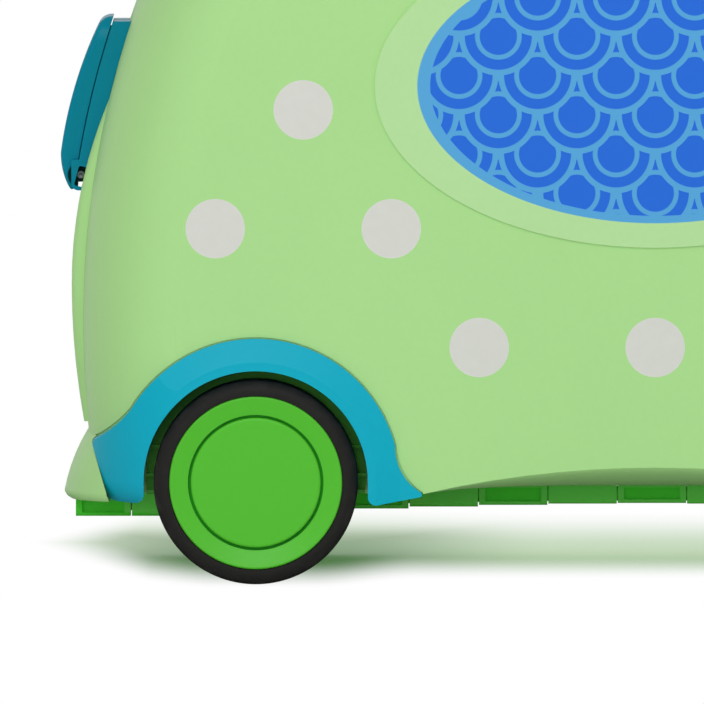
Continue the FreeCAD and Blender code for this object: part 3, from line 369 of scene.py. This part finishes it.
def dot_print(finish):
    """1 on a dot and 0 beside it."""
    row = ((finish.z - FIRST_ROW) / ROW_PITCH + 0.5).floor()
    dot_z = row * ROW_PITCH + FIRST_ROW
    stagger = row.is_odd() * (DOT_PITCH / 2)
    dot_x = ((finish.x - stagger) / DOT_PITCH + 0.5).floor() * DOT_PITCH + stagger
    from_dot = distance(finish.x - dot_x, finish.z - dot_z)
    dot = 1 - from_dot.step(DOT_RADIUS - DOT_EDGE, DOT_RADIUS + DOT_EDGE)
    on_flat = (abs(dot_x) < FLAT_HALF_LENGTH) * (dot_z > FLAT_LOW) * (dot_z < FLAT_HIGH)
    clear_of_wheel = off_axle(dot_x, dot_z) > ARCH_CLEARANCE
    clear_of_oval = oval_share(dot_x, dot_z, DOT_RADIUS) > OVAL_CLEARANCE
    facing = finish.node("TexCoord", {}, {}, out="Normal")
    facing_y = finish.node("SeparateXYZ", {}, {"Vector": facing}, out="Y")
    outside = facing_y * finish.y > OUTWARD
    return dot * on_flat * clear_of_wheel * clear_of_oval * outside


print("dots", 2000 * DOT_RADIUS, "mm across")

# %% [markdown]
# The shell itself is the plastic of the function above, in light green. Its gloss is low,
# because a large curved side with a strong gloss mirrors the white room and loses its colour.
# The print lies in the same grain as the plastic round it, so only the colour is exchanged.

# %% Shell
SHELL_GREEN = linear(172, 221, 144)
OFF_WHITE = linear(214, 215, 208)
INK_SIZE = 0.004
INK_DRIFT = 0.06

shell, shell_colour = moulded("shell_plastic", SHELL_GREEN, roughness=0.46, shine=0.15)
ink = shell.shade(OFF_WHITE, 1 + INK_DRIFT * shell.drift(INK_SIZE, detail=2))
shell.colour(shell.mix(dot_print(shell), shell_colour, ink))
shell.put_on(*pair("shell", SIDES))

# %% [markdown]
# The oval panel on each side is a shade lighter than the case, and its middle is printed with
# scales in two blues. Rows of scales could be cut from sheets and overlapped, as on a roof. In
# print it is enough to know which scale lies on top. Scales are circles on a staggered grid: a
# point belongs to the circle of the row above if it is inside that circle, and to the row below
# if not. Its distance from the middle of that circle then gives the light rim and ring.

# %% Scales
SCALE = 0.0165
SCALE_RIM = (0.84, 0.87)
RING_START = (0.46, 0.49)
RING_END = (0.58, 0.61)


def scale_print(finish):
    """1 on the light rims and rings, 0 on the deep blue of the scales."""
    row_above = (finish.z / SCALE).floor() + 1

    def from_middle(row):
        """Distance from the nearest scale's middle in a row, 1 on its edge."""
        stagger = row.is_odd() * SCALE
        middle_x = ((finish.x - stagger) / (2 * SCALE) + 0.5).floor() * (2 * SCALE) + stagger
        return distance(finish.x - middle_x, finish.z - row * SCALE) / SCALE

    upper = from_middle(row_above)
    lower = from_middle(row_above - 1)
    covered = upper < 1.0
    share = upper * covered + lower * (1 - covered)
    ring = share.step(*RING_START) * (1 - share.step(*RING_END))
    return share.step(*SCALE_RIM).most(ring)


print("scales", 2000 * SCALE, "mm wide")

# %% [markdown]
# The print ends in a light blue border, and round it the panel is bare. Outlines could be drawn
# for both. The oval measure of the cell above gives them with one step each, and they are alike
# in shape to the edge of the panel.

# %% Oval panel
PANEL_GREEN = linear(181, 224, 157)
DEEP_BLUE = linear(30, 106, 220)
LIGHT_BLUE = linear(84, 166, 220)
BORDER_START = (0.800, 0.804)
BORDER_END = (0.846, 0.850)

panel, panel_colour = moulded("panel_plastic", PANEL_GREEN, roughness=0.44)
scales = panel.mix(scale_print(panel), DEEP_BLUE, LIGHT_BLUE)
across_oval = oval_share(panel.x, panel.z)
print_colour = panel.mix(across_oval.step(*BORDER_START), scales, LIGHT_BLUE)
printed = 1 - across_oval.step(*BORDER_END)
panel.colour(panel.mix(printed, panel_colour, print_colour))
panel.put_on(*pair("side_panel", SIDES))

# %% [markdown]
# A fender covers the arch over each wheel, in teal. The grip horns, which the rider holds, are
# a soft rubber of a similar colour, with a deeper grain and a duller surface. Both could share
# one material, but plastic and rubber differ most in how they shine, so each has its own.

# %% Fenders and grip horns
FENDER_TEAL = linear(0, 172, 198)
GRIP_TEAL = linear(4, 156, 182)

fender, _ = moulded("fender_plastic", FENDER_TEAL, roughness=0.42, shine=0.22)
fender.put_on(*corners("fender"))
grip, _ = moulded("grip_rubber", GRIP_TEAL, roughness=0.6, grain=0.00005)
grip.put_on(*pair("grip_horn", SIDES))

# %% [markdown]
# The catches that hold the halves together are a deeper teal. Round its pivot a catch is
# hollow, and the window beside the pin shows that hollow as a dark place. A strong lamp would
# show it lit up, so the hollow gets painted shade in a dark teal: it is found by its distance
# from the pivot, behind the inner face of the near cheek.

# %% Catches
CATCH_TEAL = linear(0, 128, 152)
HOLLOW_SHADE_TEAL = linear(0, 44, 42)
PIVOT_X = 0.2425
PIVOT_Z = 0.1688
HOLLOW_EDGE = (0.0052, 0.0060)
CHEEK_INSIDE = -0.0187

catch, catch_colour = moulded("catch_plastic", CATCH_TEAL, roughness=0.34, shine=0.12)
from_pivot = distance(abs(catch.x) - PIVOT_X, catch.z - PIVOT_Z)
# painted shade: dark teal in the catch's hollow round the pivot
painted_hollow_shade = (1 - from_pivot.step(*HOLLOW_EDGE)) * (catch.y > CHEEK_INSIDE)
catch.colour(catch.mix(painted_hollow_shade, catch_colour, HOLLOW_SHADE_TEAL))
catch.put_on(*pair("catch_base", ENDS), *pair("catch_lever", ENDS), *pair("catch_strike", ENDS))

# %% [markdown]
# Rim and hub cap are a bright green plastic, glossier than the case. Between them runs a narrow
# slit. Light that gets out of it has met green walls more than once, so it is a deeper green.
# The renderer follows such light only so far, so the floor of the slit gets painted shade in a
# deeper green, found by its distance from the axle.

# %% Rims and hub caps
HUB_GREEN = linear(86, 195, 48)
SLIT_SHADE_GREEN = linear(29, 171, 14)
SLIT_START = (0.0272, 0.0275)
SLIT_END = (0.0284, 0.0287)

hub, hub_colour = moulded("hub_plastic", HUB_GREEN, roughness=0.38, shine=0.36)
from_axle = off_axle(hub.x, hub.z)
# painted shade: a deeper green on the floor of the slit between rim and cap
painted_slit_shade = from_axle.step(*SLIT_START) * (1 - from_axle.step(*SLIT_END))
hub.colour(hub.mix(painted_slit_shade, hub_colour, SLIT_SHADE_GREEN))
hub.put_on(*corners("rim"), *corners("hub_cap"))

# %% [markdown]
# The tyres are dark rubber. Rubber is mottled more than plastic, has a deeper grain and picks
# up pale dust where it rolls. The dust could be a second layer of material. As it has no
# thickness, patches of noise near the tread are enough to mix a little of its colour in. The
# bush in the middle of each wheel is pale nylon and shows only from close by.

# %% Tyres and bushes
TYRE_BLACK = linear(39, 38, 37)
DUST_GREY = linear(80, 77, 72)
NYLON_WHITE = linear(222, 220, 210)
RUBBER_IOR = 1.5
RUBBER_MOTTLE = 0.3
RUBBER_GRAIN = 0.00004
TYRE_ROUGHNESS = 0.58
TYRE_RUB = 0.16
DUST_PATCHES = (0.45, 0.75)
DUST_MOST = 0.25
TREAD = (0.0395, 0.0428)

tyre = Finish("tyre_rubber", {"IOR": RUBBER_IOR, "Specular IOR Level": 0.2})
mottled = tyre.shade(TYRE_BLACK, 1 + RUBBER_MOTTLE * tyre.drift(size=0.004, detail=3))
patches = tyre.noise(size=0.006, detail=4).step(*DUST_PATCHES)
dust = DUST_MOST * patches * off_axle(tyre.x, tyre.z).step(*TREAD)
tyre.colour(tyre.mix(dust, mottled, DUST_GREY))
tyre.roughness(TYRE_ROUGHNESS + TYRE_RUB * tyre.drift(size=0.01, detail=3))
tyre.relief(tyre.noise(size=0.0009, detail=3), depth=RUBBER_GRAIN)
tyre.put_on(*corners("tyre"))

bush, _ = moulded("bush_nylon", NYLON_WHITE, roughness=0.5)
bush.put_on(*corners("bush"))

# %% [markdown]
# The hinge is a row of knuckles under the case, every other one with a pocket. It is a fresh
# green that sits in shade, and its paint is lighter than the plastic as painted light for that
# shade, with a deeper grain than the shell. The pocket floors get painted shade in a deeper
# green. A second material on the pocket's faces would do, but the mesh stays as it came, so the
# floor is found by its distance from the pin: the knuckles grow towards the ends of the case, and
# a pocket's floor lies below their faces.

# %% Hinge
# painted light: the hinge green is lighter than the plastic, for the shade under the case
HINGE_GREEN_LIGHTENED = linear(114, 232, 92)
POCKET_SHADE_GREEN = linear(82, 228, 56)
KNUCKLE = 0.004
KNUCKLE_GROWTH = 0.0569
KNUCKLE_POWER = 1.5
POCKET_STEP = (-0.0014, -0.0006)

hinge, lightened_face_colour = moulded(
    "hinge_plastic", HINGE_GREEN_LIGHTENED, roughness=0.45, grain=0.00003, shine=0.2)
knuckle_face = KNUCKLE + KNUCKLE_GROWTH * abs(hinge.x) ** KNUCKLE_POWER
# painted shade: a deeper green on the floors of the pockets
painted_pocket_shade = 1 - (abs(hinge.y) - knuckle_face).step(*POCKET_STEP)
hinge.colour(hinge.mix(painted_pocket_shade, lightened_face_colour, POCKET_SHADE_GREEN))
hinge.put_on(*pair("hinge_comb", SIDES))

# %% [markdown]
# The axle carriers close the wheel wells behind the wheels. They are the plastic of the hinge
# in a quieter green. The seat panels on the saddle are a rubbery skin, so that the rider
# doesn't slide. Their grain is the deepest on the case, and they hardly shine.

# %% Wheel wells and seat
WELL_GREEN = linear(92, 186, 70)
SEAT_GREEN = linear(96, 186, 66)

well, _ = moulded("well_plastic", WELL_GREEN, roughness=0.5, grain=0.00003)
well.put_on(*corners("axle_carrier"))
seat, _ = moulded("seat_rubber", SEAT_GREEN, roughness=0.62, grain=0.00006)
seat.put_on(*pair("seat_panel", SIDES))

# %% [markdown]
# Pins, axles, nuts and screws are zinc-plated steel. A metal takes its look from what it
# mirrors, so an even one looks false at once. Noise that is stretched along the case stands for
# the marks of drawing and turning, and the same marks drive colour, roughness and relief.

# %% Steel
ZINC_GREY = linear(196, 198, 200)
MARK_SIZE = 0.0008
MARK_STRETCH = (0.15, 1, 1)
MARK_COLOUR = 0.2
MARK_GLOSS = 0.25
STEEL_ROUGHNESS = 0.405

steel = Finish("zinc_steel", {"Metallic": 1.0})
marks = steel.drift(MARK_SIZE, detail=3, stretch=MARK_STRETCH)
steel.colour(steel.shade(ZINC_GREY, 1 + MARK_COLOUR * marks))
steel.roughness(STEEL_ROUGHNESS + MARK_GLOSS * marks)
steel.relief(marks, depth=0.00001)
steel.put_on("hinge_pin", *corners("axle"), *pair("catch_pin", ENDS),
             *pair("axle_nuts", SIDES), *pair("case_screws", SIDES))

# %% [markdown]
# A strip of black rubber lies in the seam between the halves and keeps water out. It is made
# like the tyre, without the dust.

# %% Seal
SEAL_BLACK = linear(52, 53, 50)
SEAL_ROUGHNESS = 0.725
SEAL_RUB = 0.15

seal = Finish("seal_rubber", {"IOR": RUBBER_IOR})
seal.colour(seal.shade(SEAL_BLACK, 1 + RUBBER_MOTTLE * seal.drift(size=0.003, detail=3)))
seal.roughness(SEAL_ROUGHNESS + SEAL_RUB * seal.drift(size=0.008, detail=2))
seal.relief(seal.noise(size=0.0006, detail=2), depth=RUBBER_GRAIN)
seal.put_on("seam_seal")

# %% [markdown]
# The case stands on a wide sheet of white paper. A plane could be added with an operator, but
# four corners and one face need no more than a line of mesh code. The sheet isn't part of the
# object.

# %% Floor sheet
FLOOR_HALF = 40.0

sheet = bpy.data.meshes.new("floor")
edge = [(-FLOOR_HALF, -FLOOR_HALF, 0), (FLOOR_HALF, -FLOOR_HALF, 0),
        (FLOOR_HALF, FLOOR_HALF, 0), (-FLOOR_HALF, FLOOR_HALF, 0)]
sheet.from_pydata(edge, [], [(0, 1, 2, 3)])
floor = bpy.data.objects.new("floor", sheet)
bpy.context.scene.collection.objects.link(floor)
print("floor", 2 * FLOOR_HALF, "m wide")

# %% [markdown]
# Scattered light meets plain white paper. To the camera the paper glows a little and takes only
# part of its shade from the lamps, so that the ground is white and the shadow under the case is
# as pale as in a studio picture. More light on the case would whiten the ground too, but the
# colours would go with it. The glow leans to green as painted bounce light from the green case,
# and the paper colour makes up for that in full light. Beside and between the wheels the paper is
# shut in, and a painted shadow there makes it darker and lets it glow less.

# %% Paper
PLAIN_PAPER = {"Base Color": (0.86, 0.86, 0.86), "Roughness": 0.9, "Specular IOR Level": 0.0}
WHITE = (1, 1, 1)
PAPER_SHADE = (1.0, 0.88, 1.0)
# painted bounce light: the glow of the paper leans to the green of the case
PAPER_GLOW_AND_BOUNCE = (0.15, 0.30, 0.10)
# painted shadow of the wheels: a darker paper that glows less beside and between them
WHEEL_SHADOW_COLOUR = (0.54, 0.54, 0.50)
WHEEL_SHADOW_GLOW = (0.05, 0.14, 0.04)
WHEEL_SHIFT = 0.004
WHEEL_SPREAD = (0.025, 0.125)
WHEEL_BACK = (0.17, 0.37)

paper = Finish("floor_paper", PLAIN_PAPER)
plain = Field(paper, paper.shader.outputs["BSDF"])


def glowing(shade, glow):
    """Paper that takes one part of its light from the lamps and gives the other itself."""
    lit = paper.node("BsdfDiffuse", {}, {"Color": shade})
    own = paper.node("Emission", {}, {"Color": glow, "Strength": 1.0})
    return paper.node("AddShader", {}, {"Shader": lit, "Shader_001": own})


wheel_gap = abs(abs(paper.x - WHEEL_SHIFT) - WHEEL_X)
beside_wheel = wheel_gap.step(*WHEEL_SPREAD)
# 0 where the painted wheel shadow is full, 1 away from it
off_wheel_shadow = beside_wheel.most(paper.y.step(*WHEEL_BACK))
painted_wheel_shadow = glowing(WHEEL_SHADOW_COLOUR, WHEEL_SHADOW_GLOW)
near_paper = paper.shaders(off_wheel_shadow, painted_wheel_shadow, glowing(PAPER_SHADE, PAPER_GLOW_AND_BOUNCE))
print("paper", len(paper.tree.nodes), "nodes so far")

# %% [markdown]
# Away from the case the paper is simply white. The edge of the shaded part is soft: it lies
# past the ends of the case, where it tapers, behind the case and under its near side. At a
# wheel it reaches further to the back and to the front, up to where the tyre touches the
# ground, so that the painted wheel shadow shows there. Mirrored rays see the paper in front of
# the case as dim, like the room there.

# %% Edge of the shadow
SHADE_END = (0.229, 0.270)
SHADE_MIDDLE = 0.19
SHADE_TAPER = 0.2
SHADE_BACK = (0.18, 0.43)
SHADE_FRONT = (-0.125, 0.075)
WHEEL_REACH = 0.05
WHEEL_FRONT = 0.065
WHEEL_FOOT = (0.02, 0.065)
DIM_FRONT = 0.03
DIM_PAPER_EDGE = (0.1, 0.5)

past_end = abs(paper.x) + SHADE_TAPER * abs(paper.y - SHADE_MIDDLE)
behind = paper.y - WHEEL_REACH * (1 - beside_wheel)
# at a wheel the painted wheel shadow reaches forward to where the tyre meets the ground
in_front = -paper.y - WHEEL_FRONT * (1 - wheel_gap.step(*WHEEL_FOOT))
away = past_end.step(*SHADE_END).most(behind.step(*SHADE_BACK)).most(in_front.step(*SHADE_FRONT))
far_paper = paper.node("Emission", {}, {"Color": WHITE, "Strength": 1.0})
bright_paper = paper.shaders(away, near_paper, far_paper)
dim_paper = paper.node("Emission", {}, {"Color": WHITE, "Strength": DIM_FRONT})
pictured, mirrored = paper.rays()
dim = mirrored * (1 - paper.y.step(*DIM_PAPER_EDGE))
ground = paper.shaders(pictured, plain, paper.shaders(dim, bright_paper, dim_paper))
paper.feed(paper.tree.nodes["Material Output"], "Surface", ground)
sheet.materials.append(paper.material)
print(paper.material.name, len(paper.tree.nodes), "shader nodes")

# %% [markdown]
# The studio is an even white surround. Its strength and that of the lamps are set together, so
# that a colour comes out about as it was mixed. The camera and mirrored rays see a white
# backdrop, which a strength of 1 gives without more light on the case. In front of the case,
# where the camera stands, the room is dim to mirrored rays, and this keeps the gloss from
# greying the colours of the plastics.

# %% Surround
ROOM_LIGHT = 0.56
DIM_ROOM_EDGE = (0.2, 0.7)

world = bpy.data.worlds.new("studio")
bpy.context.scene.world = world
world.use_nodes = True
room = Graph(world.node_tree, "Generated")
even = room.node("Background", {}, {"Color": WHITE, "Strength": ROOM_LIGHT})
backdrop = room.node("Background", {}, {"Color": WHITE, "Strength": 1.0})
dim_side = room.node("Background", {}, {"Color": WHITE, "Strength": DIM_FRONT})
pictured, mirrored = room.rays()
dim = mirrored * (1 - room.y.step(*DIM_ROOM_EDGE))
surround = room.shaders(pictured, even, room.shaders(dim, backdrop, dim_side))
room.feed(room.tree.nodes["World Output"], "Surface", surround)
print("surround", len(room.tree.nodes), "nodes")

# %% [markdown]
# Two soft boxes stand in front. The key box is large and high, so that its shadows have wide
# soft edges. The fill box is small and near the floor, where it reaches the hinge under the
# case. It is kept out of mirrored rays, because it would show as a square on the glossy pieces.
# Point lamps would be simpler, but their shadows have hard edges.

# %% Lamps
LAMP_TARGET = Vector((0, 0, 0.15))
KEY_PLACE = Vector((-0.3, -2.8, 2.0))
KEY_SIZE = 1.7
KEY_POWER = 28
FILL_PLACE = Vector((-0.6, -2.9, 0.4))
FILL_SIZE = 1.0
FILL_POWER = 16


def soft_box(name, place, size, power):
    """A square lamp aimed at the case."""
    lamp = bpy.data.lights.new(name, "AREA")
    lamp.shape = "SQUARE"
    lamp.size = size
    lamp.energy = power
    box = bpy.data.objects.new(name, lamp)
    bpy.context.scene.collection.objects.link(box)
    box.location = place
    box.rotation_euler = (LAMP_TARGET - place).to_track_quat("-Z", "Y").to_euler()
    box.visible_camera = False
    return box


key = soft_box("key_lamp", KEY_PLACE, KEY_SIZE, KEY_POWER)
fill = soft_box("fill_lamp", FILL_PLACE, FILL_SIZE, FILL_POWER)
fill.visible_glossy = False
print("lamps", key.name, KEY_POWER, "W and", fill.name, FILL_POWER, "W")
